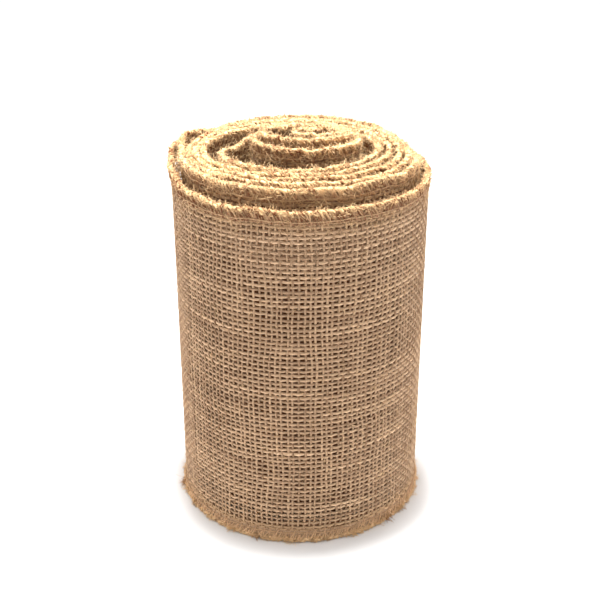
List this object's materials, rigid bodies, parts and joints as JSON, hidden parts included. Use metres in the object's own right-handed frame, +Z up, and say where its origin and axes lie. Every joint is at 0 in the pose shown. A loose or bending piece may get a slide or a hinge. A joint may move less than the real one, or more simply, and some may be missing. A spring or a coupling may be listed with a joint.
{
  "type": "ribbon roll",
  "caption": "Wide jute ribbon with overlocked edges, rolled up without a core and stood on end, its inner laps slipped upwards in steps.",
  "frame": {"origin": "on the floor, under the middle of the roll's box", "axes": "+Z up along the roll's axis, -Y towards the side that the picture shows"},
  "size_m": [0.1082, 0.1086, 0.1674],
  "materials": {
    "jute_cloth": "open plain weave of natural jute yarn",
    "overlock_thread": "fuzzy golden jute thread, wrapped",
    "frayed_yarn": "loose jute yarn"
  },
  "bodies": {
    "outer_laps": {"outer_lap_cloth": "jute_cloth", "outer_lap_top_edging": "overlock_thread", "outer_lap_bottom_edging": "overlock_thread", "outer_rise_cloth": "jute_cloth", "outer_rise_top_edging": "overlock_thread", "outer_rise_bottom_edging": "overlock_thread"},
    "mid_laps": {"second_lap_cloth": "jute_cloth", "second_lap_top_edging": "overlock_thread", "second_lap_bottom_edging": "overlock_thread", "third_lap_cloth": "jute_cloth", "third_lap_top_edging": "overlock_thread", "third_lap_bottom_edging": "overlock_thread", "fourth_lap_cloth": "jute_cloth", "fourth_lap_top_edging": "overlock_thread", "fourth_lap_bottom_edging": "overlock_thread", "fifth_lap_cloth": "jute_cloth", "fifth_lap_top_edging": "overlock_thread", "fifth_lap_bottom_edging": "overlock_thread", "sixth_lap_cloth": "jute_cloth", "sixth_lap_top_edging": "overlock_thread", "sixth_lap_bottom_edging": "overlock_thread", "core_rise_cloth": "jute_cloth", "core_rise_top_edging": "overlock_thread", "core_rise_bottom_edging": "overlock_thread"},
    "core_laps": {"core_outer_cloth": "jute_cloth", "core_outer_top_edging": "overlock_thread", "core_outer_bottom_edging": "overlock_thread", "core_inner_cloth": "jute_cloth", "core_inner_top_edging": "overlock_thread", "core_inner_bottom_edging": "overlock_thread"},
    "inner_end": {"inner_end_cloth": "jute_cloth", "inner_end_top_edging": "overlock_thread", "inner_end_bottom_edging": "overlock_thread", "inner_end_fray": "frayed_yarn"},
    "tail_root": {"tail_root_cloth": "jute_cloth", "tail_root_top_edging": "overlock_thread", "tail_root_bottom_edging": "overlock_thread"},
    "tail_tip": {"tail_tip_cloth": "jute_cloth", "tail_tip_top_edging": "overlock_thread", "tail_tip_bottom_edging": "overlock_thread", "outer_end_fray": "frayed_yarn"}
  },
  "joints": [
    {"name": "mid_lift", "type": "slide", "parent": "outer_laps", "child": "mid_laps", "axis": [0, 0, 1], "range_m": [-0.0063, 0.022]},
    {"name": "core_lift", "type": "slide", "parent": "mid_laps", "child": "core_laps", "axis": [0, 0, 1], "range_m": [-0.00536, 0.0187]},
    {"name": "inner_end_flex", "type": "hinge", "parent": "core_laps", "child": "inner_end", "pos_m": [-0.00119, -0.00231, 0.09], "axis": [0, 0, 1], "range_deg": [-15, 15]},
    {"name": "tail_peel", "type": "hinge", "parent": "outer_laps", "child": "tail_root", "pos_m": [0.05431, 0.00282, 0.076], "axis": [0, 0, -1], "range_deg": [0, 35]},
    {"name": "tail_curl", "type": "hinge", "parent": "tail_root", "child": "tail_tip", "pos_m": [0.0423, 0.03415, 0.076], "axis": [0, 0, -1], "range_deg": [0, 35]}
  ],
  "couplings": [
    {"joint": "core_lift", "follows": "mid_lift", "ratio": 0.85},
    {"joint": "tail_curl", "follows": "tail_peel", "ratio": 1}
  ]
}
